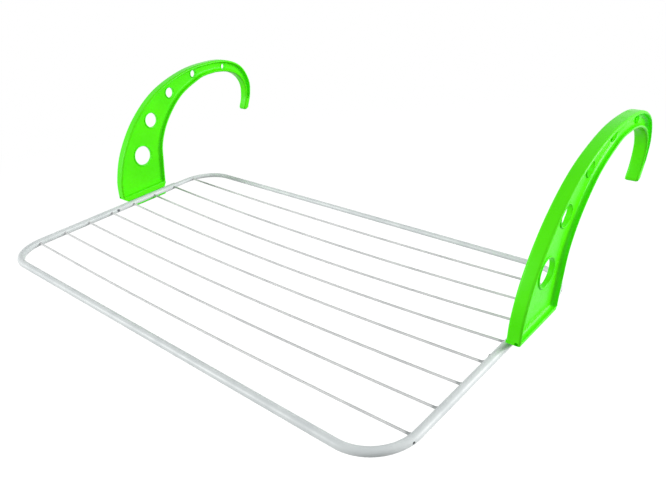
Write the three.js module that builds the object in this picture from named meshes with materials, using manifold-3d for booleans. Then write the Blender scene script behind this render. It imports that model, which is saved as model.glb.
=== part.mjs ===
// Hang-on airer with two folding hook arms, in millimetres, +Z up.
// X runs along the rods, +Y points from the open front towards the rail that the hooks go over.
// The origin is the middle of the back face of the rear tube, which leans on the rail.
import * as THREE from 'three';
import { mergeVertices } from 'three/addons/utils/BufferGeometryUtils.js';
import Module from 'manifold-3d';

const wasm = await Module();
wasm.setup();

// Frame: two bent tubes make one ring with round corners, the rear one plugged into the front one
const frameLength = 600; // between the centrelines of the two sides
const frameDepth = 330; // between the centrelines of the front and the back
const cornerRadius = 45;
const frontTubeDiameter = 8.5;
const frontTubeWall = 0.8;
const rearTubeWall = 0.8;

// Rods, which sag between the sides, those in the middle of the frame the most
const rodDiameter = 2.8;
const frontRodMargin = 41.4; // from the front tube's centreline to the first rod
const rearRodMargin = 33.8; // from the last rod to the rear tube's centreline
const rodSags = [5.8, 6.8, 8.4, 8.4, 9.8, 10.2, 8.2, 4.6]; // in the middle, from the front rod

// Hook arms, moulded in one piece each
const armReach = 269; // from the foot's front face to the back of the hook
const armHeight = 156; // above the hinge line
const armThickness = 14;
const armWeb = 3;
const armRim = 3;
const armEdge = 1; // chamfer round the plate
const footLength = 75;
const footHeight = 16;
const footShoulder = 8; // height at which the outer face starts to turn in
const footWall = 1; // round the tube
const footFrontRun = 17; // of the slope under the foot's front
const footRearRun = 11; // of the slope under the foot's back
const footRearRise = 11; // where that slope starts
const railSeat = 16; // flat stretch under the hook's crown
const holeDiameters = [27, 20, 14, 10, 8];

// A rivet just behind one rod pins the rear tube in the front one, which ends just behind another
const rivetRodIndex = 3;
const seamRodIndex = 6;
const rivetBehindRod = 10.4;
const seamBehindRod = 4.2;
const armBehindRivet = 16; // to the foot's front face
const legPastRivet = 8; // of the rear tube
const rivetShank = 2.4;
const rivetHead = 4.4;
const rivetDome = 1;
const domeRimShare = 0.75; // of the head's radius
const domeRiseShare = 0.7; // of the dome's height

// Vents drilled in the outside of each corner
const ventDiameter = 3;
const ventPlace = 35.4; // from the nearer cross tube's centreline

// Clearances
const fitGap = 0.3; // between pieces that touch
const foldGap = 0.6; // between the folded arm and the rods
const overrun = 2; // of a cutting body past the face that it cuts

// Facets
const tubeSides = 16;
const boreSides = 12;
const rodSides = 8;
const holeSides = 10;
const bendSteps = 7;
const rodSteps = 12;
const edgeSteps = 26;
const boreSteps = 14;
const sleeveSteps = 10;
const tipSteps = 4;
const weldTolerance = 1e-4;

// Sizes that follow from those above
const frontRadius = frontTubeDiameter / 2;
const rearRadius = (frontRadius - frontTubeWall) * Math.cos(Math.PI / boreSides) - fitGap;
const frontTubeSize = { radius: frontRadius, wall: frontTubeWall };
const rearTubeSize = { radius: rearRadius, wall: rearTubeWall };
const rodRadius = rodDiameter / 2;
const halfLength = frameLength / 2;
const armInnerFace = rodRadius + foldGap;
const armOuterFace = armInnerFace + armThickness;
const footBore = frontRadius + fitGap;
const footRadius = footBore + footWall;
const armMiddle = (armInnerFace + armOuterFace) / 2;
const rodPitch = (frameDepth - frontRodMargin - rearRodMargin) / (rodSags.length - 1);
const rivetPlace = frontRodMargin + rivetRodIndex * rodPitch + rivetBehindRod;
const seamPlace = frontRodMargin + seamRodIndex * rodPitch + seamBehindRod;
const armFront = rivetPlace + armBehindRivet;

// Edges of the sickle, as shares of the arm's reach and height, from above the foot to the tip
const outerEdgeShares = [
  [0.015, 0.218],
  [0.075, 0.446],
  [0.192, 0.688],
  [0.353, 0.879],
  [0.557, 0.985],
  [0.742, 1],
  [0.866, 0.965],
  [0.957, 0.875],
  [1, 0.724],
  [0.992, 0.59],
  [0.965, 0.487],
];
const legEdgeShares = [
  [0.297, 0.244],
  [0.322, 0.426],
  [0.389, 0.609],
  [0.502, 0.778],
  [0.64, 0.873],
];
const hookEdgeShares = [
  [0.848, 0.865],
  [0.919, 0.801],
  [0.957, 0.692],
  [0.95, 0.564],
  [0.924, 0.471],
];
const railSeatShare = [0.705, 0.891]; // front end of the flat seat
const holePlaceShares = [
  [0.19, 0.365],
  [0.291, 0.647],
  [0.442, 0.831],
  [0.617, 0.933],
  [0.832, 0.92],
];
const tipBulgeShare = 0.5; // of the hook's half width

const steel = { white: 0xeef0ef, dark: 0x4a4d50 };
const lime = 0x5aee12;

function material(color, roughness, metalness) {
  return new THREE.MeshStandardMaterial({ color, roughness, metalness });
}

function solid(geometry) {
  const bare = geometry.clone();
  bare.deleteAttribute('normal');
  bare.deleteAttribute('uv');
  const merged = mergeVertices(bare, weldTolerance);
  const vertProperties = new Float32Array(merged.attributes.position.array);
  const triVerts = new Uint32Array(merged.index.array);
  return new wasm.Manifold(new wasm.Mesh({ numProp: 3, vertProperties, triVerts }));
}

function meshOf(name, body, finish) {
  const { vertProperties, triVerts } = body.getMesh();
  const geometry = new THREE.BufferGeometry();
  geometry.setAttribute('position', new THREE.BufferAttribute(new Float32Array(vertProperties), 3));
  geometry.setIndex(new THREE.BufferAttribute(new Uint32Array(triVerts), 1));
  geometry.computeVertexNormals();
  const mesh = new THREE.Mesh(geometry, finish);
  mesh.name = name;
  return mesh;
}

function regularPolygon(radius, sides) {
  const points = [];
  for (let i = 0; i < sides; i++) {
    const angle = ((i + 0.5) / sides) * 2 * Math.PI;
    points.push(new THREE.Vector2(radius * Math.cos(angle), radius * Math.sin(angle)));
  }
  return points;
}

function ringShape(radius, sides, holeRadius, innerSides) {
  const shape = new THREE.Shape(regularPolygon(radius, sides));
  shape.holes.push(new THREE.Path(regularPolygon(holeRadius, innerSides)));
  return shape;
}

// A path through chosen stations, so that straight legs cost no steps
class StationPath extends THREE.Curve {
  constructor(stations) {
    super();
    this.stations = stations;
  }

  getPoint(t, target = new THREE.Vector3()) {
    const last = this.stations.length - 1;
    return target.copy(this.stations[Math.round(t * last)].point);
  }

  getPointAt(u, target) {
    return this.getPoint(u, target);
  }

  getTangentAt(u, target = new THREE.Vector3()) {
    const last = this.stations.length - 1;
    return target.copy(this.stations[Math.round(u * last)].tangent);
  }
}

function cornerStations(centreX, centreY, startAngle) {
  const stations = [];
  for (let i = 0; i <= bendSteps; i++) {
    const angle = startAngle + ((i / bendSteps) * Math.PI) / 2;
    const cos = Math.cos(angle);
    const sin = Math.sin(angle);
    stations.push({
      point: new THREE.Vector3(centreX + cornerRadius * cos, centreY + cornerRadius * sin, 0),
      tangent: new THREE.Vector3(-sin, cos, 0),
    });
  }
  return stations;
}

// One bent tube: a leg down the left side, across, and up the right side, seen from its own bend
function bentTube(legEnd, size) {
  const inset = halfLength - cornerRadius;
  const down = new THREE.Vector3(0, -1, 0);
  const up = new THREE.Vector3(0, 1, 0);
  const stations = [
    { point: new THREE.Vector3(-halfLength, legEnd, 0), tangent: down },
    ...cornerStations(-inset, cornerRadius, Math.PI),
    ...cornerStations(inset, cornerRadius, 1.5 * Math.PI),
    { point: new THREE.Vector3(halfLength, legEnd, 0), tangent: up },
  ];
  const path = new StationPath(stations);
  const shape = ringShape(size.radius, tubeSides, size.radius - size.wall, boreSides);
  return new THREE.ExtrudeGeometry(shape, { steps: stations.length - 1, extrudePath: path });
}

// How far the side's centreline lies inside its straight line at a place along the depth
function cornerInset(place) {
  const intoCorner = cornerRadius - Math.min(place, frameDepth - place);
  if (intoCorner <= 0) return 0;
  return cornerRadius - Math.sqrt(cornerRadius ** 2 - intoCorner ** 2);
}

// A round cutting body along X between two places
function crossDrill(radius, fromX, toX, y) {
  const drill = new THREE.CylinderGeometry(radius, radius, Math.abs(toX - fromX), holeSides);
  drill.rotateZ(Math.PI / 2);
  drill.translate((fromX + toX) / 2, y, 0);
  return solid(drill);
}

function rodPlaces() {
  return rodSags.map((sag, i) => frontRodMargin + i * rodPitch);
}

// Holes for the rods and rivets on the inside, and for the vents on the outside
function drillTube(tube, size, low, high) {
  const within = (place) => place > low && place < high;
  const reach = size.radius + overrun;
  let drilled = tube;
  for (const side of [-1, 1]) {
    for (const y of rodPlaces().filter(within)) {
      const axis = side * (halfLength - cornerInset(y));
      drilled = drilled.subtract(crossDrill(rodRadius + fitGap, axis, axis - side * reach, y));
    }
    for (const y of [ventPlace, frameDepth - ventPlace].filter(within)) {
      const axis = side * (halfLength - cornerInset(y));
      drilled = drilled.subtract(crossDrill(ventDiameter / 2, axis, axis + side * reach, y));
    }
    const axis = side * halfLength;
    const rivetHole = crossDrill(rivetShank / 2 + fitGap, axis, axis - side * reach, rivetPlace);
    drilled = drilled.subtract(rivetHole);
  }
  return drilled;
}

function frontTube() {
  return drillTube(solid(bentTube(seamPlace, frontTubeSize)), frontTubeSize, 0, seamPlace);
}

function rearTube() {
  const bent = bentTube(frameDepth - rivetPlace + legPastRivet, rearTubeSize);
  bent.rotateZ(Math.PI);
  bent.translate(0, frameDepth, 0);
  return drillTube(solid(bent), rearTubeSize, seamPlace, frameDepth);
}

// A blind rivet, whose domed head is on the inside and whose shank ends inside the rear tube
function rivet(side) {
  const seat = frontRadius + fitGap;
  const head = rivetHead / 2;
  const shank = rivetShank / 2;
  const profile = [
    [0, rearRadius / 2],
    [shank, rearRadius / 2],
    [shank, seat],
    [head, seat],
    [domeRimShare * head, seat + domeRiseShare * rivetDome],
    [0, seat + rivetDome],
  ];
  const points = profile.map(([radius, reach]) => new THREE.Vector2(radius, reach));
  const turned = new THREE.LatheGeometry(points, holeSides);
  turned.rotateZ((side * Math.PI) / 2);
  turned.translate(side * halfLength, rivetPlace, 0);
  return solid(turned);
}

// A rod's ends seat in the sides' drilled walls
function rod(index) {
  const y = rodPlaces()[index];
  const { radius, wall } = y < seamPlace ? frontTubeSize : rearTubeSize;
  const end = halfLength - cornerInset(y) - (radius - wall / 2);
  const path = new THREE.QuadraticBezierCurve3(
    new THREE.Vector3(-end, y, 0),
    new THREE.Vector3(0, y, -2 * rodSags[index]),
    new THREE.Vector3(end, y, 0),
  );
  const shape = new THREE.Shape(regularPolygon(rodRadius, rodSides));
  return solid(new THREE.ExtrudeGeometry(shape, { steps: rodSteps, extrudePath: path }));
}

// Arm: points in its own plane, first along the reach from the foot's front, then up from the hinge
function armPoint([along, up]) {
  return new THREE.Vector2(along * armReach, up * armHeight);
}

function armEdges() {
  const footFrontCorner = new THREE.Vector2(0, footShoulder);
  const footBackCorner = new THREE.Vector2(footLength, footRearRise);
  const seatFront = armPoint(railSeatShare);
  const seatBack = seatFront.clone().add(new THREE.Vector2(railSeat, 0));
  return {
    outer: new THREE.SplineCurve([footFrontCorner, ...outerEdgeShares.map(armPoint)]),
    leg: new THREE.SplineCurve([footBackCorner, ...legEdgeShares.map(armPoint), seatFront]),
    hook: new THREE.SplineCurve([seatBack, ...hookEdgeShares.map(armPoint)]),
  };
}

// Points along an edge between two shares of its length, moved into the band by an inset
function edgePoints(edge, steps, from, to, inset, inward) {
  const points = [];
  for (let i = 0; i <= steps; i++) {
    const u = from + ((to - from) * i) / steps;
    const tangent = edge.getTangentAt(u);
    const normal = new THREE.Vector2(tangent.y, -tangent.x).multiplyScalar(inward * inset);
    points.push(edge.getPointAt(u).add(normal));
  }
  return points;
}

// The rounded end of the hook between the tips of its two edges
function tipPoints(outerTip, innerTip) {
  const middle = outerTip.clone().add(innerTip).multiplyScalar(0.5);
  const half = outerTip.clone().sub(middle);
  const out = new THREE.Vector2(half.y, -half.x).multiplyScalar(tipBulgeShare);
  const points = [];
  for (let i = 1; i < tipSteps; i++) {
    const angle = (i * Math.PI) / tipSteps;
    const across = half.clone().multiplyScalar(Math.cos(angle));
    points.push(middle.clone().add(across).addScaledVector(out, Math.sin(angle)));
  }
  return points;
}

function sickleShape() {
  const { outer, leg, hook } = armEdges();
  const legSteps = Math.round(edgeSteps / 2);
  const outerPoints = edgePoints(outer, edgeSteps, 0, 1, 0, 1);
  const innerPoints = [
    ...edgePoints(leg, legSteps, 0, 1, 0, -1),
    ...edgePoints(hook, legSteps, 0, 1, 0, -1),
  ].reverse();
  const tip = tipPoints(outerPoints[edgeSteps], innerPoints[0]);
  return new THREE.Shape([...outerPoints, ...tip, ...innerPoints]);
}

// The pocket follows both edges a rim's width inside them
function pocketShape() {
  const { outer, leg, hook } = armEdges();
  const legSteps = Math.round(edgeSteps / 2);
  const footRise = armRim / outer.getLength();
  const outerEnd = 1 - armRim / outer.getLength();
  const hookEnd = 1 - armRim / hook.getLength();
  const outerPoints = edgePoints(outer, edgeSteps, footRise, outerEnd, armRim, 1);
  const innerPoints = [
    ...edgePoints(leg, legSteps, 0, 1, armRim, -1),
    ...edgePoints(hook, legSteps, 0, hookEnd, armRim, -1),
  ].reverse();
  return new THREE.Shape([...outerPoints, ...innerPoints]);
}

// Extrusion of a shape in the arm's plane, from one X to another
function plate(shape, fromX, toX, edge) {
  const geometry = new THREE.ExtrudeGeometry(shape, {
    depth: toX - fromX - 2 * edge,
    bevelEnabled: edge > 0,
    bevelThickness: edge,
    bevelSize: edge,
    bevelOffset: -edge,
    bevelSegments: 1,
  });
  const along = new THREE.Vector3(0, 1, 0);
  const up = new THREE.Vector3(0, 0, 1);
  const out = new THREE.Vector3(1, 0, 0);
  geometry.applyMatrix4(new THREE.Matrix4().makeBasis(along, up, out));
  geometry.translate(fromX + edge, 0, 0);
  return solid(geometry);
}

function arcPoints(radius, fromAngle, toAngle, steps) {
  const points = [];
  for (let i = 0; i <= steps; i++) {
    const angle = fromAngle + ((toAngle - fromAngle) * i) / steps;
    points.push(new THREE.Vector2(radius * Math.cos(angle), radius * Math.sin(angle)));
  }
  return points;
}

// Section of the foot: down the inner face, round the bore, back round the outside, up the shoulder.
// Its lip ends just under the rods, which stop the arm upright.
function footSection() {
  const lipTop = -(rodRadius + fitGap);
  const boreStart = Math.acos(armInnerFace / footBore);
  const boreEnd = -Math.PI - Math.asin(lipTop / footBore);
  const lipEnd = -Math.PI - Math.asin(lipTop / footRadius);
  const shoulderDistance = Math.hypot(armOuterFace, footShoulder);
  const shoulderAngle = Math.atan2(footShoulder, armOuterFace);
  const tangentAngle = shoulderAngle - Math.acos(footRadius / shoulderDistance);
  return new THREE.Shape([
    new THREE.Vector2(armInnerFace, footHeight),
    ...arcPoints(footBore, boreStart, boreEnd, boreSteps),
    ...arcPoints(footRadius, lipEnd, tangentAngle, sleeveSteps),
    new THREE.Vector2(armOuterFace, footShoulder),
    new THREE.Vector2(armOuterFace, footHeight),
  ]);
}

// The foot from the side, sloped under both ends
function footProfile() {
  const shape = new THREE.Shape();
  shape.moveTo(0, footHeight);
  shape.lineTo(0, footShoulder);
  shape.lineTo(footFrontRun, -footRadius);
  shape.lineTo(footLength - footRearRun, -footRadius);
  shape.lineTo(footLength, footRearRise);
  shape.lineTo(footLength, footHeight);
  return shape;
}

function foot() {
  const bar = new THREE.ExtrudeGeometry(footSection(), { depth: footLength, bevelEnabled: false });
  const out = new THREE.Vector3(1, 0, 0);
  const up = new THREE.Vector3(0, 0, 1);
  const forward = new THREE.Vector3(0, -1, 0);
  bar.applyMatrix4(new THREE.Matrix4().makeBasis(out, up, forward));
  bar.translate(0, footLength, 0);
  return solid(bar).intersect(plate(footProfile(), -footRadius - overrun, armOuterFace, armEdge));
}

function armHole(diameter, place) {
  const centre = armPoint(place);
  const length = armThickness + 2 * overrun;
  const drill = new THREE.CylinderGeometry(diameter / 2, diameter / 2, length, 2 * holeSides);
  drill.rotateZ(Math.PI / 2);
  drill.translate(armMiddle, centre.x, centre.y);
  return solid(drill);
}

// The right arm about its own hinge line; the left one is its mirror image
function armSolid() {
  let arm = plate(sickleShape(), armInnerFace, armOuterFace, armEdge).add(foot());
  arm = arm.subtract(plate(pocketShape(), armInnerFace - overrun, armMiddle - armWeb / 2, 0));
  arm = arm.subtract(plate(pocketShape(), armMiddle + armWeb / 2, armOuterFace + overrun, 0));
  holeDiameters.forEach((diameter, i) => {
    arm = arm.subtract(armHole(diameter, holePlaceShares[i]));
  });
  return arm;
}

function mirrored(geometry) {
  const copy = geometry.clone();
  copy.scale(-1, 1, 1);
  const index = copy.index.array;
  for (let i = 0; i < index.length; i += 3) {
    [index[i], index[i + 1]] = [index[i + 1], index[i]];
  }
  copy.computeVertexNormals();
  return copy;
}

function airer() {
  const whiteSteel = material(steel.white, 0.35, 0);
  const darkSteel = material(steel.dark, 0.4, 0.9);
  const limePlastic = material(lime, 0.4, 0);
  const model = new THREE.Group();
  model.add(meshOf('front_tube', frontTube(), whiteSteel.clone()));
  model.add(meshOf('rear_tube', rearTube(), whiteSteel.clone()));
  rodSags.forEach((sag, i) => {
    model.add(meshOf(`rod_${i + 1}`, rod(i), whiteSteel.clone()));
  });
  const rightArm = meshOf('right_arm', armSolid(), limePlastic.clone());
  const leftArm = new THREE.Mesh(mirrored(rightArm.geometry), limePlastic.clone());
  leftArm.name = 'left_arm';
  rightArm.position.set(halfLength, armFront, 0);
  leftArm.position.set(-halfLength, armFront, 0);
  model.add(leftArm, rightArm);
  for (const [side, word] of [[-1, 'left'], [1, 'right']]) {
    model.add(meshOf(`${word}_rivet`, rivet(side), darkSteel.clone()));
  }
  model.position.y = -(frameDepth + rearRadius * Math.cos(Math.PI / tubeSides));
  return model;
}

export default airer();
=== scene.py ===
# %% [markdown]
# # A hang-on drying rack
# Two bent steel tubes make a ring, eight thin rods are strung across it, and two green plastic arms hook
# over a rail. The measured solids are loaded first and are never moved. They are coarse, so each one gets a
# finer piece in its place, and that piece moves with the same body.

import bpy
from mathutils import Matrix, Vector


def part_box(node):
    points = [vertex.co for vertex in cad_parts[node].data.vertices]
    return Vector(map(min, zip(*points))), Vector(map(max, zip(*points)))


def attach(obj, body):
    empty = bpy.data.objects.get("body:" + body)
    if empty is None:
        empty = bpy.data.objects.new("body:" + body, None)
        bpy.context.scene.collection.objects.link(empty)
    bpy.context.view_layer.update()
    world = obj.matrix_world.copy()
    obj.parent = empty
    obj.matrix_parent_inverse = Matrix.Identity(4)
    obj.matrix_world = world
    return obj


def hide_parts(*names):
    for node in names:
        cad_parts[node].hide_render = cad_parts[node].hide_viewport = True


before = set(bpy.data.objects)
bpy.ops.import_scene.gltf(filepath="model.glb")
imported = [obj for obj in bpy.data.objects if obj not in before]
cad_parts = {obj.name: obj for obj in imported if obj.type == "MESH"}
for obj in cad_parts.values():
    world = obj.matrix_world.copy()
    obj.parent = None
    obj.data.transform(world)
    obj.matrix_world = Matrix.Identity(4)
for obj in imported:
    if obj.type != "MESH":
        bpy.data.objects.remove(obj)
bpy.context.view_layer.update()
print("solids:", sorted(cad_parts))

# %% [markdown]
# ## Sizes
# All sizes are in metres. Places along the depth of the rack are counted from the middle of the front tube,
# which is how a maker would mark out the rods, and one function turns such a place into a point.

# %% Sizes of the ring
import math

import bmesh
import bpy
from mathutils import Vector

HALF_LENGTH = 0.300
DEPTH = 0.330
CORNER = 0.045
FRONT_RADIUS = 0.00425
REAR_RADIUS = 0.00303
TUBE_WALL = 0.0008

front_low, front_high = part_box("front_tube")
FRONT_Y = front_low.y + (front_high.z - front_low.z) / 2


def at(x, place, z=0.0):
    """A point of the rack from its place along the depth."""
    return Vector((x, FRONT_Y + place, z))


print(f"middle of the front tube at y = {FRONT_Y:.4f}")

# %% [markdown]
# ## A skin over rings
# Tubes, rods, rivets and moulded plates are all one idea: a closed outline that moves through space. A
# curve with a bevel could make the tubes, and a screw modifier the rivets, but neither gives the wall inside
# a tube or a rim that rounds over. So one helper joins rings of points with quads, and every piece is a
# list of rings.

# %% Skin helper


def skin(name, rings, loop=False):
    """A closed mesh through rings that have as many points each. A loop joins its last ring to its first."""
    shape = bmesh.new()
    made = [[shape.verts.new(point) for point in ring] for ring in rings]
    pairs = list(zip(made, made[1:]))
    if loop:
        pairs.append((made[-1], made[0]))
    else:
        ends = [shape.faces.new(made[0][::-1]), shape.faces.new(made[-1])]
        shape.normal_update()
        bmesh.ops.triangulate(shape, faces=ends, ngon_method="EAR_CLIP")
    for near, far in pairs:
        for i in range(len(near)):
            j = (i + 1) % len(near)
            shape.faces.new((near[i], near[j], far[j], far[i]))
    if shape.calc_volume(signed=True) < 0:
        bmesh.ops.reverse_faces(shape, faces=shape.faces)
    mesh = bpy.data.meshes.new(name)
    shape.to_mesh(mesh)
    shape.free()
    piece = bpy.data.objects.new(name, mesh)
    bpy.context.scene.collection.objects.link(piece)
    return piece


def ring(centre, along, radius, sides):
    """A circle of points round a centre, square to a direction."""
    along = along.normalized()
    across = along.cross(Vector((0, 0, 1))).normalized()
    up = across.cross(along)
    turns = [2 * math.pi * i / sides for i in range(sides)]
    return [centre + radius * (math.cos(a) * across + math.sin(a) * up) for a in turns]


# %% [markdown]
# ## Cutting and joining
# Holes and pockets are cut with boolean modifiers, the way a drill or a mould core makes them. Each result
# is baked into plain mesh at once and the cutter is thrown away, so that only real pieces are left. Edges
# that turn by more than a given angle stay crisp, and all other edges are shaded as one round surface.

# %% Boolean and shading helpers
CRISP_ANGLE = math.radians(38)


def combine(piece, tools, operation):
    """Cuts the tools out of a piece, adds them or keeps what they share, and removes them."""
    for tool in tools:
        step = piece.modifiers.new(operation.lower(), "BOOLEAN")
        step.operation = operation
        step.solver = "MANIFOLD"
        step.object = tool
    bpy.context.view_layer.update()
    result = piece.evaluated_get(bpy.context.evaluated_depsgraph_get())
    piece.data = bpy.data.meshes.new_from_object(result)
    piece.modifiers.clear()
    for tool in tools:
        bpy.data.objects.remove(tool)
    return piece


def shade(piece):
    """Round shading, but crisp at sharp edges and even over large flat faces."""
    piece.data.shade_smooth()
    piece.data.set_sharp_from_angle(angle=CRISP_ANGLE)
    even = piece.modifiers.new("even_shading", "WEIGHTED_NORMAL")
    even.keep_sharp = True


# %% [markdown]
# ## Sums in materials
# A number in a material comes out of a node's socket, and every sum on it is one more Math node. Such sums
# read best as sums, so a small class wraps a socket and lets Python's operators add the nodes.

# %% Signals


class Signal:
    """A number that changes over a surface. Arithmetic on it adds Math nodes."""

    def __init__(self, finish, socket):
        self.finish = finish
        self.socket = socket

    def _math(self, operation, first, second):
        return self.finish.add("ShaderNodeMath", {"operation": operation}, {0: first, 1: second})

    def __add__(self, other):
        return self._math("ADD", self, other)

    def __rsub__(self, other):
        return self._math("SUBTRACT", other, self)

    def __mul__(self, other):
        return self._math("MULTIPLY", self, other)

    __radd__ = __add__
    __rmul__ = __mul__

    def between(self, low, high):
        """0 below low, 1 above high, and a soft step between them."""
        settings = {"interpolation_type": "SMOOTHSTEP"}
        sockets = {"Value": self, "From Min": low, "From Max": high}
        return self.finish.add("ShaderNodeMapRange", settings, sockets)


# %% [markdown]
# ## One place for a material's nodes
# A second class holds the nodes of one material or of the world. One method adds any kind of node, and short
# ones on top of it say what a finish is made of: noise, a blend of two colours, a bump. Building the nodes by
# hand in the editor would do as well, but a text can be read, compared and run again.

# %% Finishes


class Finish:
    """The nodes of one material, or of the world."""

    def __init__(self, owner, shader, constants):
        owner.use_nodes = True
        self.owner = owner
        self.tree = owner.node_tree
        self.shader = self.tree.nodes[shader]
        self.feed(constants)

    def join(self, source, socket):
        """Links a signal or an output to a socket, or sets the socket to a constant."""
        if isinstance(source, Signal):
            source = source.socket
        if isinstance(source, bpy.types.NodeSocket):
            self.tree.links.new(source, socket)
        else:
            socket.default_value = source

    def add(self, kind, settings=None, inputs=None, output=0):
        """Any node from its type, its settings and what goes into its sockets."""
        node = self.tree.nodes.new(kind)
        for setting, value in (settings or {}).items():
            setattr(node, setting, value)
        for socket, value in (inputs or {}).items():
            self.join(value, node.inputs[socket])
        return Signal(self, node.outputs[output])

    def blend(self, factor, first, second):
        """Two colours mixed by a number."""
        sockets = {0: factor, 6: first, 7: second}
        return self.add("ShaderNodeMix", {"data_type": "RGBA"}, sockets, output=2)

    def feed(self, sockets):
        """Sets or links sockets of the surface shader by their names."""
        for socket, source in sockets.items():
            self.join(source, self.shader.inputs[socket])

    def place(self, axis=None):
        """Where a point is on the object, or how far along one of its axes."""
        point = self.add("ShaderNodeTexCoord", output=3)
        if axis is None:
            return point
        sockets = {"Vector": point}
        return self.add("ShaderNodeSeparateXYZ", {}, sockets, output="XYZ".index(axis))

    def noise(self, size, detail=2.0):
        """Noise whose grains are about so many metres across."""
        sockets = {"Vector": self.place(), "Scale": 1 / size, "Detail": detail}
        return self.add("ShaderNodeTexNoise", {}, sockets)

    def bump(self, height, distance, strength):
        """A surface raised by up to so many metres."""
        sockets = {"Height": height, "Distance": distance, "Strength": strength}
        return self.add("ShaderNodeBump", {}, sockets)

    def seen_directly(self):
        """1 for the camera and in mirror images, 0 for light that falls on things."""
        rays = self.add("ShaderNodeLightPath").socket.node.outputs
        camera, glossy, through = (rays[f"Is {word} Ray"] for word in ("Camera", "Glossy", "Transmission"))
        return Signal(self, camera) + Signal(self, glossy) + Signal(self, through)


def new_finish(name, constants):
    """A new material's nodes."""
    return Finish(bpy.data.materials.new(name), "Principled BSDF", constants)


# %% [markdown]
# ## White coated steel
# The tubes and rods are dipped in white plastic powder. Such a coat is half glossy, slightly wavy like
# orange peel, and never one flat white: it is a trace greyer where it is thin. Noise of two sizes gives the
# waves and the patches. A painted image could do it too, but noise needs no unwrapping and has no seams. The
# rods' white is darker than the tubes', which is painted shade. Each rod also turns a darker grey near its
# right-hand end, so a rod's finish also looks at how far along X a point is.

# %% White steel
WHITE = (0.66, 0.70, 0.70, 1)
THIN_WHITE = (0.60, 0.64, 0.645, 1)
# The rods' whites are darker than the tubes' whites: painted shade on the same coat.
SHADED_ROD_WHITE = (0.61, 0.62, 0.62, 1)
SHADED_THIN_ROD_WHITE = (0.54, 0.55, 0.555, 1)
# A darker grey near the right-hand end of each rod, from X = 0.290 m on.
RIGHT_END_GREY = (0.30, 0.32, 0.32, 1)
RIGHT_END_STARTS, RIGHT_END_FULL = 0.290, 0.293
COAT_IOR = 1.5
COAT_ROUGHNESS, THIN_IS_ROUGHER = 0.40, 0.12
PATCH_SIZE, PATCH_EDGES = 0.030, (0.38, 0.68)
PEEL_SIZE, PEEL_HEIGHT = 0.0016, 0.00004


def coated_steel(name, colour, thin_colour, right_end_colour=None):
    """White plastic coat, with a darker grey near the right-hand end if a colour is given for it."""
    coat = new_finish(name, {"IOR": COAT_IOR})
    patches = coat.noise(PATCH_SIZE, detail=3).between(*PATCH_EDGES)
    paint = coat.blend(patches, colour, thin_colour)
    if right_end_colour:
        # Darker grey painted near the right-hand end of a rod.
        at_right_end = coat.place("X").between(RIGHT_END_STARTS, RIGHT_END_FULL)
        paint = coat.blend(at_right_end, paint, right_end_colour)
    coat.feed({
        "Base Color": paint,
        "Roughness": COAT_ROUGHNESS + THIN_IS_ROUGHER * patches,
        "Normal": coat.bump(coat.noise(PEEL_SIZE), PEEL_HEIGHT, strength=0.5),
    })
    return coat.owner


tube_coat = coated_steel("white_coated_tube", WHITE, THIN_WHITE)
# The rods get the darker whites, which are painted shade, and the grey near their right-hand ends.
shaded_rod_coat = coated_steel("white_coated_rod_with_painted_shade", SHADED_ROD_WHITE, SHADED_THIN_ROD_WHITE, RIGHT_END_GREY)
print("coats:", tube_coat.name, shaded_rod_coat.name)

# %% [markdown]
# ## Lime green plastic
# The arms are moulded in one coloured plastic. The mould leaves a very fine grain and a soft gloss, the
# colour swims a little lighter and darker where the melt flowed, and handling dulls it in patches. One even
# colour would look like a drawing, so three noises are used, from broad flow to fine grain. The index of
# refraction is low, because the photo shows almost no white shine on the green.

# %% Lime plastic
LIME = (0.095, 0.89, 0.003, 1)
DEEP_LIME = (0.075, 0.81, 0.002, 1)
PLASTIC_IOR = 1.22
PLASTIC_ROUGHNESS, RUBBED_IS_ROUGHER = 0.26, 0.12
FLOW_SIZE, FLOW_EDGES = 0.060, (0.35, 0.75)
RUB_SIZE, RUB_EDGES = 0.012, (0.50, 0.72)
GRAIN_SIZE, GRAIN_HEIGHT = 0.0007, 0.00002


def moulded_plastic(name):
    """Lime green plastic as it comes from the mould."""
    plastic = new_finish(name, {"IOR": PLASTIC_IOR})
    flow = plastic.noise(FLOW_SIZE, detail=2).between(*FLOW_EDGES)
    rubbed = plastic.noise(RUB_SIZE, detail=4).between(*RUB_EDGES)
    plastic.feed({
        "Base Color": plastic.blend(flow, LIME, DEEP_LIME),
        "Roughness": PLASTIC_ROUGHNESS + RUBBED_IS_ROUGHER * rubbed,
        "Normal": plastic.bump(plastic.noise(GRAIN_SIZE), GRAIN_HEIGHT, strength=0.6),
    })
    return plastic.owner


lime_plastic = moulded_plastic("lime_plastic")
print("plastic:", lime_plastic.name)

# %% [markdown]
# ## Dark steel rivets
# The rivets are bare steel gone dark. Lighter worn specks break up the shine of the head. One noise drives
# the colour, the gloss and the bump, because wear changes all three at the same spots.

# %% Rivet steel
RIVET_GREY = (0.10, 0.11, 0.115, 1)
RIVET_WORN = (0.22, 0.23, 0.24, 1)
RIVET_ROUGHNESS, WORN_IS_SMOOTHER = 0.50, 0.18
WEAR_SIZE, WEAR_HEIGHT, WEAR_EDGES = 0.0012, 0.00003, (0.45, 0.70)


def rivet_steel(name):
    """Dark steel with worn specks."""
    steel = new_finish(name, {"Metallic": 0.9})
    wear = steel.noise(WEAR_SIZE, detail=4).between(*WEAR_EDGES)
    steel.feed({
        "Base Color": steel.blend(wear, RIVET_GREY, RIVET_WORN),
        "Roughness": RIVET_ROUGHNESS - WORN_IS_SMOOTHER * wear,
        "Normal": steel.bump(wear, WEAR_HEIGHT, strength=0.5),
    })
    return steel.owner


dark_steel = rivet_steel("dark_rivet_steel")
print("rivet steel:", dark_steel.name)

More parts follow.
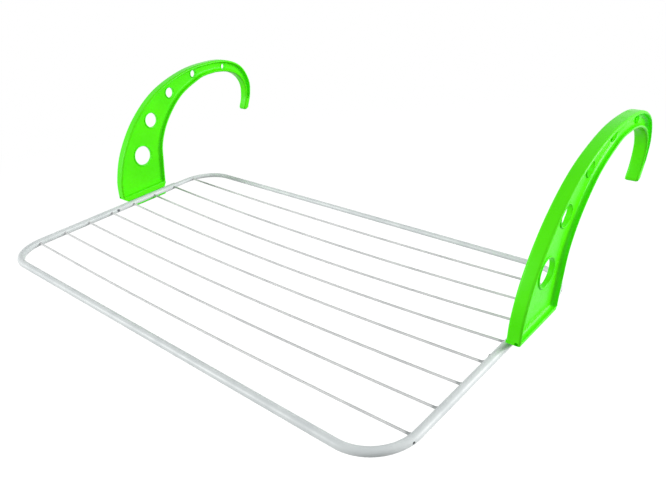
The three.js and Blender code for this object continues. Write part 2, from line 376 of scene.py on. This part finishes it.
# %% [markdown]
# ## The two bent tubes
# On the real rack each tube is one length of pipe with two bends. The wider one comes round the front. The
# thinner one comes round the back, and its ends are plugged into the wider one. A pipe has an outside and an
# inside, so its rings run along the outer wall, turn over a small lip, and come back along the inner one.

# %% Tubes
TUBE_SIDES = 32
BEND_STEPS = 20
LIP = 0.0002
SEAM_PLACE = 0.264
PLUG_PLACE = 0.153


def bend(centre_x, centre_place, start_angle):
    """Stations of a quarter turn: each is a point of the pipe's middle line and its direction."""
    stations = []
    for i in range(BEND_STEPS + 1):
        angle = start_angle + i / BEND_STEPS * math.pi / 2
        out = Vector((math.cos(angle), math.sin(angle), 0))
        stations.append((at(centre_x, centre_place) + CORNER * out, Vector((-out.y, out.x, 0))))
    return stations


def pipe(name, node, stations, radius):
    """A hollow pipe along stations, with softly rounded ends."""
    bore = radius - TUBE_WALL
    (start, ahead), (end, onward) = stations[0], stations[-1]
    outer = [ring(point, along, radius, TUBE_SIDES) for point, along in stations[1:-1]]
    inner = [ring(point, along, bore, TUBE_SIDES) for point, along in stations]
    first_lip = [
        ring(start, ahead, radius - LIP, TUBE_SIDES),
        ring(start + LIP * ahead, ahead, radius, TUBE_SIDES),
    ]
    last_lip = [
        ring(end - LIP * onward, onward, radius, TUBE_SIDES),
        ring(end, onward, radius - LIP, TUBE_SIDES),
    ]
    tube = skin(name, first_lip + outer + last_lip + inner[::-1], loop=True)
    tube.data.materials.append(tube_coat)
    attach(tube, "frame")
    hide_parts(node)
    return tube


INSET = HALF_LENGTH - CORNER
DOWN, UP = Vector((0, -1, 0)), Vector((0, 1, 0))
front_stations = [
    (at(-HALF_LENGTH, SEAM_PLACE), DOWN),
    *bend(-INSET, CORNER, math.pi),
    *bend(INSET, CORNER, 1.5 * math.pi),
    (at(HALF_LENGTH, SEAM_PLACE), UP),
]
rear_stations = [
    (at(HALF_LENGTH, PLUG_PLACE), UP),
    *bend(INSET, DEPTH - CORNER, 0),
    *bend(-INSET, DEPTH - CORNER, math.pi / 2),
    (at(-HALF_LENGTH, PLUG_PLACE), DOWN),
]
front_pipe = pipe("front_pipe", "front_tube", front_stations, FRONT_RADIUS)
rear_pipe = pipe("rear_pipe", "rear_tube", rear_stations, REAR_RADIUS)
print("tube faces:", len(front_pipe.data.polygons), len(rear_pipe.data.polygons))

# %% [markdown]
# ## Vents
# A small hole on the outside of each corner lets air out while the coat is baked. It is drilled through one
# wall only, so the drill starts in the middle of the pipe.

# %% Vents
VENT_RADIUS = 0.0015
VENT_PLACE = 0.0354
DRILL_SIDES = 24


def corner_inset(place):
    """How far the middle line lies inside the straight side at a place."""
    into = CORNER - min(place, DEPTH - place)
    return CORNER - math.sqrt(CORNER**2 - into**2) if into > 0 else 0.0


def drill(start, end, radius):
    """A round cutter between two points."""
    return skin("drill", [ring(point, end - start, radius, DRILL_SIDES) for point in (start, end)])


def vent_drill(side, place, radius):
    """The cutter of one vent, from the pipe's middle outwards."""
    start = at(side * (HALF_LENGTH - corner_inset(place)), place)
    return drill(start, start + Vector((side * 2 * radius, 0, 0)), VENT_RADIUS)


for tube, place, radius in (
    (front_pipe, VENT_PLACE, FRONT_RADIUS),
    (rear_pipe, DEPTH - VENT_PLACE, REAR_RADIUS),
):
    combine(tube, [vent_drill(side, place, radius) for side in (-1, 1)], "DIFFERENCE")
    shade(tube)
print("tube faces with vents:", len(front_pipe.data.polygons), len(rear_pipe.data.polygons))

# %% [markdown]
# ## Rods
# Eight thin rods cross the ring, and the washing has pulled each of them down a little. A rod that hangs by
# its two ends follows a parabola. At each end a small fillet of weld, coated over, widens it against the
# tube. The rods are drawn a little thinner than the solids, because they look so in the photo.

# %% Rods
ROD_RADIUS = 0.00122
ROD_SIDES = 16
ROD_STEPS = 48
FIRST_ROD, LAST_ROD = 0.0414, 0.2962
ROD_SAGS = (0.0058, 0.0068, 0.0084, 0.0084, 0.0098, 0.0102, 0.0082, 0.0046)
WELD_REACH = 0.0022
WELD_SWELL = 0.0006
WELD_STEPS = 5


def rod(number, sag):
    """One rod from side tube to side tube."""
    place = FIRST_ROD + (LAST_ROD - FIRST_ROD) * (number - 1) / (len(ROD_SAGS) - 1)
    tube_radius = FRONT_RADIUS if place < SEAM_PLACE else REAR_RADIUS
    side = HALF_LENGTH - corner_inset(place)
    end = side - tube_radius + TUBE_WALL / 2
    wall = side - tube_radius
    weld_steps = [end - WELD_REACH * i / WELD_STEPS for i in range(WELD_STEPS + 1)]
    span_steps = [(end - WELD_REACH) * (1 - 2 * i / ROD_STEPS) for i in range(1, ROD_STEPS)]
    rings = []
    for x in weld_steps + span_steps + [-x for x in reversed(weld_steps)]:
        share = x / end
        middle = at(x, place, -sag * (1 - share**2))
        slope = Vector((1, 0, 2 * sag * x / end**2))
        near = max(0.0, 1 - (wall - abs(x)) / WELD_REACH)
        rings.append(ring(middle, slope, ROD_RADIUS + WELD_SWELL * min(near, 1.0) ** 2, ROD_SIDES))
    piece = skin(f"drying_rod_{number}", rings)
    piece.data.materials.append(shaded_rod_coat)
    shade(piece)
    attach(piece, "frame")
    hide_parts(f"rod_{number}")


for number, sag in enumerate(ROD_SAGS, start=1):
    rod(number, sag)
print("rods:", len(ROD_SAGS))

# %% [markdown]
# ## Rivets
# A blind rivet goes through the inner walls of each side tube and of the thinner tube inside it. Its head is
# a low dome, so its rings grow and shrink along the rivet's own line. A screw modifier could spin the same
# profile, but it would leave a seam to weld, and the ring helper is there already.

# %% Rivets
RIVET_PLACE = 0.161
SHANK_RADIUS = 0.0012
HEAD_RADIUS = 0.0021
HEAD_SEAT = FRONT_RADIUS
HEAD_DOME = 0.0004
DOME_STEPS = 6
RIVET_SIDES = 32
SIDES = (("left", -1), ("right", 1))


def rivet(word, side):
    """The rivet of one side tube, from inside the thinner tube to its head."""
    inward = Vector((-side, 0, 0))
    middle = at(side * HALF_LENGTH, RIVET_PLACE)
    profile = [(REAR_RADIUS / 2, SHANK_RADIUS), (HEAD_SEAT, SHANK_RADIUS), (HEAD_SEAT, HEAD_RADIUS)]
    for i in range(1, DOME_STEPS):
        angle = i / DOME_STEPS * math.pi / 2
        profile.append((HEAD_SEAT + HEAD_DOME * math.sin(angle), HEAD_RADIUS * math.cos(angle)))
    rings = [ring(middle + reach * inward, inward, radius, RIVET_SIDES) for reach, radius in profile]
    piece = skin(f"{word}_tube_rivet", rings)
    piece.data.materials.append(dark_steel)
    shade(piece)
    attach(piece, "frame")
    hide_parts(f"{word}_rivet")


for word, side in SIDES:
    rivet(word, side)
print("rivets at x =", [side * HALF_LENGTH for word, side in SIDES])

# %% [markdown]
# ## The outline of an arm
# Seen from the side an arm is a sickle: a broad leg on its foot, a long back that rises and curls over, and
# a short hook. Its edges are drawn like the maker's drawing, as smooth curves through a few chosen points.
# The points are shares of the arm's reach and height, and the curve between them is a Catmull-Rom spline.

# %% Arm edges
ARM_REACH, ARM_HEIGHT = 0.269, 0.156
FOOT_LENGTH, SHOULDER, SEAT_LENGTH = 0.075, 0.008, 0.016
SLEEVE_RADIUS = 0.00555
FRONT_SLOPE_RUN, REAR_SLOPE_RUN, REAR_SLOPE_TOP = 0.017, 0.011, 0.011
OUTER_SHARES = (
    (0.015, 0.218), (0.075, 0.446), (0.192, 0.688), (0.353, 0.879), (0.557, 0.985), (0.742, 1),
    (0.866, 0.965), (0.957, 0.875), (1, 0.724), (0.992, 0.59), (0.965, 0.487),
)
LEG_SHARES = ((0.297, 0.244), (0.322, 0.426), (0.389, 0.609), (0.502, 0.778), (0.64, 0.873))
HOOK_SHARES = ((0.848, 0.865), (0.919, 0.801), (0.957, 0.692), (0.95, 0.564), (0.924, 0.471))
SEAT_SHARE = (0.705, 0.891)


def shared(pair):
    """A point in the arm's plane from its shares of the reach and the height."""
    return Vector((pair[0] * ARM_REACH, pair[1] * ARM_HEIGHT))


FINE_STEPS = 60


def spline(points, spacing):
    """Evenly spaced points along a Catmull-Rom spline through the given ones."""
    last = len(points) - 1
    fine = []
    for i in range(last):
        before, start, end, after = (points[max(0, min(last, k))] for k in (i - 1, i, i + 1, i + 2))
        leave, arrive = (end - before) / 2, (after - start) / 2
        for step in range(FINE_STEPS):
            t = step / FINE_STEPS
            cubic = (2 * start - 2 * end + leave + arrive) * t**3
            square = (3 * end - 3 * start - 2 * leave - arrive) * t**2
            fine.append(cubic + square + leave * t + start)
    fine.append(points[-1])
    lengths = [0.0]
    for a, b in zip(fine, fine[1:]):
        lengths.append(lengths[-1] + (b - a).length)
    count = round(lengths[-1] / spacing)
    even, k = [], 0
    for i in range(count + 1):
        goal = lengths[-1] * i / count
        while k < len(fine) - 2 and lengths[k + 1] < goal:
            k += 1
        even.append(fine[k].lerp(fine[k + 1], (goal - lengths[k]) / (lengths[k + 1] - lengths[k])))
    return even


SPACING = 0.003

seat_front = shared(SEAT_SHARE)
seat_back = seat_front + Vector((SEAT_LENGTH, 0))
back_of_foot = Vector((FOOT_LENGTH, REAR_SLOPE_TOP))
outer_edge = spline([Vector((0, SHOULDER)), *map(shared, OUTER_SHARES)], SPACING)
leg_edge = spline([back_of_foot, *map(shared, LEG_SHARES), seat_front], SPACING)
hook_edge = spline([seat_back, *map(shared, HOOK_SHARES)], SPACING)
print("edge points:", len(outer_edge), len(leg_edge), len(hook_edge))

# %% [markdown]
# ## Moulded plates and cores
# A moulded plate is its outline pushed through the thickness, a little smaller at both faces where its edges
# are rounded. A mould's core, which leaves a pocket, is the same thing the other way round. So one helper
# takes an outline and a list of levels, each a distance through the thickness and an inset there. Where the
# outline is narrow or turns tightly, the inset takes up no more than four fifths of the room, so the rings
# never cross.

# %% Slab helper
ROOM_SHARE = 0.8
SHARPEST_TURN = 0.3
LEAST_DEPTH = 1e-6


def inward_ways(outline):
    """For each point, the way in that keeps both neighbouring edges parallel. The outline runs clockwise."""
    ways = []
    for i, point in enumerate(outline):
        before = (point - outline[i - 1]).normalized()
        after = (outline[(i + 1) % len(outline)] - point).normalized()
        inward = Vector((before.y + after.y, -before.x - after.x))
        ways.append(inward / max(SHARPEST_TURN, inward.length_squared / 2))
    return ways


def room_inside(outline, ways):
    """For each point, the radius of the largest circle that touches the outline there from inside."""
    radii = []
    for point, way in zip(outline, ways):
        inward, radius = way.normalized(), 1.0
        for other in outline:
            gap = other - point
            depth = gap.dot(inward)
            if depth > LEAST_DEPTH:
                radius = min(radius, gap.length_squared / (2 * depth))
        radii.append(radius)
    return radii


def clockwise(outline):
    """The outline, turned round if need be."""
    area = sum(a.x * b.y - b.x * a.y for a, b in zip(outline, outline[1:] + outline[:1]))
    return outline if area < 0 else outline[::-1]


def slab(name, outline, levels):
    """A plate in the arm's plane from levels of (distance out from the hinge line, inset)."""
    outline = clockwise(outline)
    ways = inward_ways(outline)
    limits = [ROOM_SHARE * radius for radius in room_inside(outline, ways)]
    rings = []
    for x, inset in levels:
        level = [p + min(inset, limit) * way for p, way, limit in zip(outline, ways, limits)]
        rings.append([Vector((x, p.x, p.y)) for p in level])
    return skin(name, rings)


def rounded_levels(low, high, radius, steps=4):
    """Levels of a plate with round edges on both faces."""
    turns = [i / steps * math.pi / 2 for i in range(steps + 1)]
    start = [(low + radius * (1 - math.sin(a)), radius * (1 - math.cos(a))) for a in reversed(turns)]
    return start + [(low + high - x, inset) for x, inset in reversed(start)]


# %% [markdown]
# ## Round corners
# A moulded part has no sharp corners in its outline. A bevel modifier could round them, but it works on a
# whole mesh and slips where edges are short. Here each corner of the outline is cut off at the same distance
# on both sides, and a cubic curve joins the two cuts.

# %% Corner helper
ARC_PULL, ARC_STEPS = 0.55, 8
SHARP_ANGLE = math.radians(140)
CORNER_CLEARANCE = 1.15


def soften(outline, reach):
    """Replaces each sharp corner of an outline by a round one that starts so far from the corner."""
    count = len(outline)

    def cut(i, step):
        corner, k = outline[i], i + step
        while (outline[k % count] - corner).length < reach:
            k += step
        near, far = outline[(k - step) % count], outline[k % count]
        gone, span = (near - corner).length, (far - corner).length
        return near.lerp(far, (reach - gone) / (span - gone))

    sharp = []
    for i, point in enumerate(outline):
        if (outline[i - 1] - point).angle(outline[(i + 1) % count] - point) < SHARP_ANGLE:
            sharp.append(i)
    soft = []
    for i, point in enumerate(outline):
        if i in sharp:
            start, end = cut(i, -1), cut(i, 1)
            leave, arrive = start.lerp(point, ARC_PULL), end.lerp(point, ARC_PULL)
            for t in (step / ARC_STEPS for step in range(ARC_STEPS + 1)):
                first, middle, last = start.lerp(leave, t), leave.lerp(arrive, t), arrive.lerp(end, t)
                soft.append(first.lerp(middle, t).lerp(middle.lerp(last, t), t))
        elif all((point - outline[k]).length > CORNER_CLEARANCE * reach for k in sharp):
            soft.append(point)
    return soft


# %% [markdown]
# ## The arm's plate
# The outline runs up the back of the arm, round the hook's tip, back along the hook's inside and down the
# leg. Along the seat, which rests on the rail, it is straight. The plate is that outline pushed through
# 14 mm with round edges on both faces.

# %% Plate
INNER_FACE, OUTER_FACE = 0.002, 0.016
ARM_MIDDLE = (INNER_FACE + OUTER_FACE) / 2
EDGE_ROUND, PLATE_CORNER = 0.0024, 0.0030
TIP_FLATNESS, TIP_STEPS = 0.6, 8


def hook_tip(outer_tip, inner_tip):
    """The round end of the hook, a little flatter than half a circle."""
    middle = (outer_tip + inner_tip) / 2
    half = outer_tip - middle
    out = TIP_FLATNESS * Vector((half.y, -half.x))
    turns = [i / TIP_STEPS * math.pi for i in range(1, TIP_STEPS)]
    return [middle + math.cos(a) * half + math.sin(a) * out for a in turns]


def slope_point(foot_y, run, top, z):
    """A point of a slope that starts at a height of the foot's end and runs under it."""
    return Vector((foot_y + run * (top - z) / (top + SLEEVE_RADIUS), z))


sickle = outer_edge + hook_tip(outer_edge[-1], hook_edge[-1]) + hook_edge[::-1] + leg_edge[::-1]
sickle.append(slope_point(FOOT_LENGTH, -REAR_SLOPE_RUN, REAR_SLOPE_TOP, SHOULDER))
plate = slab("plate", soften(sickle, PLATE_CORNER), rounded_levels(INNER_FACE, OUTER_FACE, EDGE_ROUND))
print("plate faces:", len(plate.data.polygons))

# %% [markdown]
# ## The pockets
# A pocket sinks into each face and leaves a rim of 3 mm along the edges, a thinner one above the foot, and a
# web of 3 mm in the middle. So the plastic cools evenly and the arm is stiff for its weight. Each pocket is
# cut by a core like the one in the mould, with round corners, a filleted floor and a rounded mouth. It stops
# short of the hook's tip, where both rims meet.

# %% Pockets
RIM, FOOT_RIM, WEB = 0.003, 0.0016, 0.003
POCKET_FILLET, POCKET_LIP, POCKET_CORNER = 0.0034, 0.0010, 0.0024
POCKET_FLOOR_Z = SHOULDER + FOOT_RIM
STEPS_LEFT_AT_TIP = 5
PAST_FACE = 0.002


def moved_in(edge, distance, side):
    """An edge's points moved sideways into the band."""
    moved = []
    for i, point in enumerate(edge):
        along = (edge[min(i + 1, len(edge) - 1)] - edge[max(i - 1, 0)]).normalized()
        moved.append(point + side * distance * Vector((along.y, -along.x)))
    return moved


def above(points, height):
    """The points over a height."""
    return [p for p in points if p.y > height]


def lip_turn(radius, steps=4):
    """A convex quarter turn as (way through the thickness, way outwards)."""
    turns = [i / steps * math.pi / 2 for i in range(steps + 1)]
    return [(radius * math.sin(a), radius * (1 - math.cos(a))) for a in turns]


def core(name, sense):
    """The mould core that leaves the pocket on the outer face, 1, or the inner one, -1."""
    depth = OUTER_FACE - ARM_MIDDLE
    levels = [(WEB / 2 + POCKET_FILLET - go, side) for go, side in reversed(lip_turn(POCKET_FILLET))]
    levels += [(depth - POCKET_LIP + go, -side) for go, side in lip_turn(POCKET_LIP)]
    levels.append((depth + PAST_FACE, -POCKET_LIP))
    placed = [(ARM_MIDDLE + sense * x, inset) for x, inset in levels]
    return slab(name, soften(pocket, POCKET_CORNER), placed)


pocket = (
    above(moved_in(outer_edge, RIM, 1), POCKET_FLOOR_Z)[:-STEPS_LEFT_AT_TIP]
    + moved_in(hook_edge, RIM, -1)[:-STEPS_LEFT_AT_TIP][::-1]
    + above(moved_in(leg_edge, RIM, -1), POCKET_FLOOR_Z)[::-1]
)
combine(plate, [core("outer_core", 1), core("inner_core", -1)], "DIFFERENCE")
print("plate faces with its pockets:", len(plate.data.polygons))

# %% [markdown]
# ## The foot
# Below the plate the arm wraps round the side tube like a hand round a bar: a C-shaped section, open on the
# inside, whose lip reaches under the rods and stops the arm upright. The section is drawn once and pushed
# along the tube, then cut to the foot's side view, which slopes under both ends.

# %% Foot
BORE_RADIUS = 0.00455
LIP_TOP = -0.0017
FOOT_TOP = 0.010
UNDERCUT = -0.007
SHOULDER_ROUND, SHOULDER_PULL, SHOULDER_STEPS = 0.12, 0.6, 4
BORE_STEPS, SLEEVE_STEPS, LIP_STEPS = 32, 24, 6
PAST_FOOT = 0.002
INSIDE_OF_SLEEVE = -0.008


def arc(radius, start, end, steps):
    """Points of an arc about the hinge line."""
    turns = [start + (end - start) * i / steps for i in range(steps + 1)]
    return [Vector((radius * math.cos(a), radius * math.sin(a))) for a in turns]


def foot_section():
    """The C-shaped section, from the inner face round the tube to the lip and back up the outside."""
    mid_radius = (BORE_RADIUS + SLEEVE_RADIUS) / 2
    half_wall = (SLEEVE_RADIUS - BORE_RADIUS) / 2
    lip_angle = -math.pi - math.asin((LIP_TOP - half_wall) / mid_radius)
    lip_middle = mid_radius * Vector((math.cos(lip_angle), math.sin(lip_angle)))
    corner = Vector((OUTER_FACE, SHOULDER))
    tangent = math.atan2(corner.y, corner.x) - math.acos(SLEEVE_RADIUS / corner.length)
    lip = []
    for i in range(1, LIP_STEPS):
        turn = lip_angle - i / LIP_STEPS * math.pi
        lip.append(lip_middle + half_wall * Vector((-math.cos(turn), -math.sin(turn))))
    bore_start = math.acos(INNER_FACE / BORE_RADIUS)
    slope_end = SLEEVE_RADIUS * Vector((math.cos(tangent), math.sin(tangent)))
    slope_start = corner.lerp(slope_end, SHOULDER_ROUND)
    outer_top = Vector((OUTER_FACE, FOOT_TOP))
    shoulder = []
    for t in (i / SHOULDER_STEPS for i in range(SHOULDER_STEPS + 1)):
        up_the_face = corner.lerp(outer_top, SHOULDER_PULL * t)
        shoulder.append(slope_start.lerp(corner, t).lerp(up_the_face, t))
    return [
        Vector((INNER_FACE, FOOT_TOP)),
        *arc(BORE_RADIUS, bore_start, lip_angle, BORE_STEPS),
        *lip,
        *arc(SLEEVE_RADIUS, lip_angle, tangent, SLEEVE_STEPS),
        *shoulder,
        outer_top,
    ]


section = foot_section()
foot_ends = (-PAST_FOOT, FOOT_LENGTH + PAST_FOOT)
foot = skin("foot", [[Vector((p.x, y, p.y)) for p in section] for y in foot_ends])
side_view = [
    slope_point(0, FRONT_SLOPE_RUN, SHOULDER, UNDERCUT),
    outer_edge[0],
    outer_edge[1],
    leg_edge[1],
    leg_edge[0],
    slope_point(FOOT_LENGTH, -REAR_SLOPE_RUN, REAR_SLOPE_TOP, UNDERCUT),
]
round_outside = [(INSIDE_OF_SLEEVE, 0.0)]
round_outside += [(OUTER_FACE - EDGE_ROUND + go, side) for go, side in lip_turn(EDGE_ROUND)]
combine(foot, [slab("side_view", side_view, round_outside)], "INTERSECT")
combine(plate, [foot], "UNION")
print("arm faces with its foot:", len(plate.data.polygons))

# %% [markdown]
# ## Five holes
# Five round holes lighten the arm, from large at the foot to small at the crown. Each has a low collar round
# it on both faces of the web, which shows in the photo as a darker ring. The collars are added first and
# then everything is drilled. The drills flare at both mouths, so each hole has a rounded lip.

# %% Holes
HOLES = (
    (0.0135, (0.19, 0.365)),
    (0.010, (0.291, 0.647)),
    (0.007, (0.442, 0.831)),
    (0.005, (0.617, 0.933)),
    (0.004, (0.832, 0.92)),
)
COLLAR_WIDTH_SHARE = 0.15
COLLAR_HEIGHT = 0.0012
LIP_SHARE = 0.07
PAST_COLLAR = 0.001
HOLE_SIDES = 48


def circle(centre, radius):
    """A circle in the arm's plane."""
    turns = [2 * math.pi * i / HOLE_SIDES for i in range(HOLE_SIDES)]
    return [centre + radius * Vector((math.cos(a), math.sin(a))) for a in turns]


collars, drills = [], []
half_collar = WEB / 2 + COLLAR_HEIGHT
for radius, share in HOLES:
    centre = shared(share)
    lip = radius * LIP_SHARE
    collar_levels = rounded_levels(ARM_MIDDLE - half_collar, ARM_MIDDLE + half_collar, lip)
    collars.append(slab("collar", circle(centre, radius * (1 + COLLAR_WIDTH_SHARE)), collar_levels))
    mouth = [(half_collar - lip + go, -side) for go, side in lip_turn(lip)]
    mouth.append((half_collar + PAST_COLLAR, -lip))
    drill_levels = [(ARM_MIDDLE - x, inset) for x, inset in reversed(mouth)]
    drill_levels += [(ARM_MIDDLE + x, inset) for x, inset in mouth]
    drills.append(slab("drill", circle(centre, radius), drill_levels))
combine(plate, collars, "UNION")
combine(plate, drills, "DIFFERENCE")
print("arm faces with its holes:", len(plate.data.polygons))

# %% [markdown]
# ## The mark in the foot's front
# A dark dot shows low on the front of the right foot, near its outer edge. It is taken for the blind hole of
# a mould pin, and since the arms are a pair both have it. A dark spot in the finish would look the same from
# the front, but a real hole also darkens the right way from the side.

# %% Pin hole
PIN_HOLE_RADIUS = 0.0017
PIN_HOLE_DEPTH = 0.005
PIN_HOLE_X, PIN_HOLE_Z = 0.0122, 0.0094
BEFORE_FOOT = -0.003
before_face = Vector((PIN_HOLE_X, BEFORE_FOOT, PIN_HOLE_Z))
hole_end = Vector((PIN_HOLE_X, PIN_HOLE_DEPTH, PIN_HOLE_Z))
combine(plate, [drill(before_face, hole_end, PIN_HOLE_RADIUS)], "DIFFERENCE")
print("arm faces with its mark:", len(plate.data.polygons))

# %% [markdown]
# ## Left and right
# The two arms are mirror images. The finished mesh is copied, mirrored and turned right side out, and each
# copy is set on its side tube. A mirror modifier would make one object of both, and then neither could fold
# alone.

# %% Both arms
from mathutils import Matrix

ARM_PLACE = 0.177


def hook_arm(word, side):
    """One arm from a copy of the finished plate."""
    mesh = plate.data.copy()
    if side < 0:
        mesh.transform(Matrix.Scale(-1, 4, Vector((1, 0, 0))))
        mesh.flip_normals()
    mesh.transform(Matrix.Translation(at(side * HALF_LENGTH, ARM_PLACE)))
    arm = bpy.data.objects.new(f"{word}_hook_arm", mesh)
    bpy.context.scene.collection.objects.link(arm)
    mesh.materials.clear()
    mesh.materials.append(lime_plastic)
    shade(arm)
    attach(arm, f"{word}_arm")
    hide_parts(f"{word}_arm")


for word, side in SIDES:
    hook_arm(word, side)
bpy.data.objects.remove(plate)
print("arms stand at y =", round(at(0, ARM_PLACE).y, 4))

# %% [markdown]
# ## Camera
# The camera was worked out from the photo: where it stands, where it looks and how long its lens is. The
# photo is a crop, so the picture's middle isn't the lens's middle, and a small shift makes up for that.

# %% Camera
camera = bpy.data.objects.new("camera", bpy.data.cameras.new("camera"))
bpy.context.scene.collection.objects.link(camera)
camera.location = (0.4973, -0.5711, 0.3443)
camera.rotation_euler = [math.radians(a) for a in (55.757, 4.556, 40.877)]
camera.data.sensor_width = 36
camera.data.lens = 33.48
camera.data.shift_x = -0.0035
camera.data.shift_y = 0.1039
camera.data.clip_start, camera.data.clip_end = 0.01, 50
bpy.context.scene.camera = camera
print("camera at", tuple(round(c, 3) for c in camera.location))

# %% [markdown]
# ## Floor
# The photo is a cut-out on white. The floor is a pale matt sheet well below the rack, because the rack
# hangs. A white floor under full light would clip and lose its shadow, so the sheet is a pale grey that
# glows for the camera and in reflections only. Together they look white and still take a soft shadow. Far
# out the glow takes over, so the sheet's edge melts into the backdrop.

# %% Floor
FLOOR_Z = -0.30
FLOOR_HALF = 3
PAPER = (0.40, 0.40, 0.40, 1)
PAPER_GLOW = (0.72, 0.72, 0.72, 1)
PURE_WHITE = (1, 1, 1, 1)
BLACK = (0, 0, 0, 1)
SHEET = 0.01
FADE_STARTS, FADE_ENDS = 0.4, 1.8
corners = [(FLOOR_HALF * x, FLOOR_HALF * y) for x, y in ((-1, -1), (1, -1), (1, 1), (-1, 1))]
floor = skin("floor", [[Vector((x, y, z)) for x, y in corners] for z in (FLOOR_Z - SHEET, FLOOR_Z)])
paper = new_finish("pale_paper", {"Roughness": 1, "Specular IOR Level": 0, "Emission Strength": 1})
distance = paper.add("ShaderNodeVectorMath", {"operation": "LENGTH"}, {0: paper.place()}, output=1)
far = distance.between(FADE_STARTS, FADE_ENDS)
glow = paper.blend(far, PAPER_GLOW, PURE_WHITE)
paper.feed({
    "Base Color": paper.blend(far, PAPER, BLACK),
    "Emission Color": paper.blend(paper.seen_directly(), BLACK, glow),
})
floor.data.materials.append(paper.owner)
print("floor at z =", FLOOR_Z)

# %% [markdown]
# ## World and lamps
# The world is white to the camera and in reflections, and a plain grey as a light. Large soft lamps stand in
# for a studio's softboxes. The main ones are behind on the right, where they light the arms' outer faces and
# leave the pockets' walls darker, and in front on the left. A weak one in front on the right opens the shade.

# %% World and lamps
WORLD_LEVEL = 0.35
studio = Finish(bpy.data.worlds.new("studio"), "Background", {"Color": PURE_WHITE, "Strength": WORLD_LEVEL})
bpy.context.scene.world = studio.owner
backdrop = studio.add("ShaderNodeBackground", {}, {"Color": PURE_WHITE, "Strength": 1})
room = studio.shader.outputs[0]
both = studio.add("ShaderNodeMixShader", {}, {0: studio.seen_directly(), 1: room, 2: backdrop})
studio.join(both, studio.tree.nodes["World Output"].inputs["Surface"])


def softbox(name, place, aim, size, watts):
    """A square lamp that faces a point."""
    lamp = bpy.data.objects.new(name, bpy.data.lights.new(name, "AREA"))
    bpy.context.scene.collection.objects.link(lamp)
    lamp.data.shape = "SQUARE"
    lamp.data.size = size
    lamp.data.energy = watts
    lamp.location = place
    lamp.rotation_euler = (Vector(aim) - Vector(place)).to_track_quat("-Z", "Y").to_euler()


softbox("back_right_softbox", (2.4, 1.6, 0.9), aim=(0, -0.1, 0), size=1.6, watts=90)
softbox("front_left_softbox", (-2.2, -2.7, 1.4), aim=(-0.1, -0.25, 0), size=1.6, watts=100)
softbox("front_right_softbox", (1.7, -2.3, 0.8), aim=(0.2, -0.1, 0), size=1.2, watts=9)
bpy.context.scene.view_settings.view_transform = "Standard"
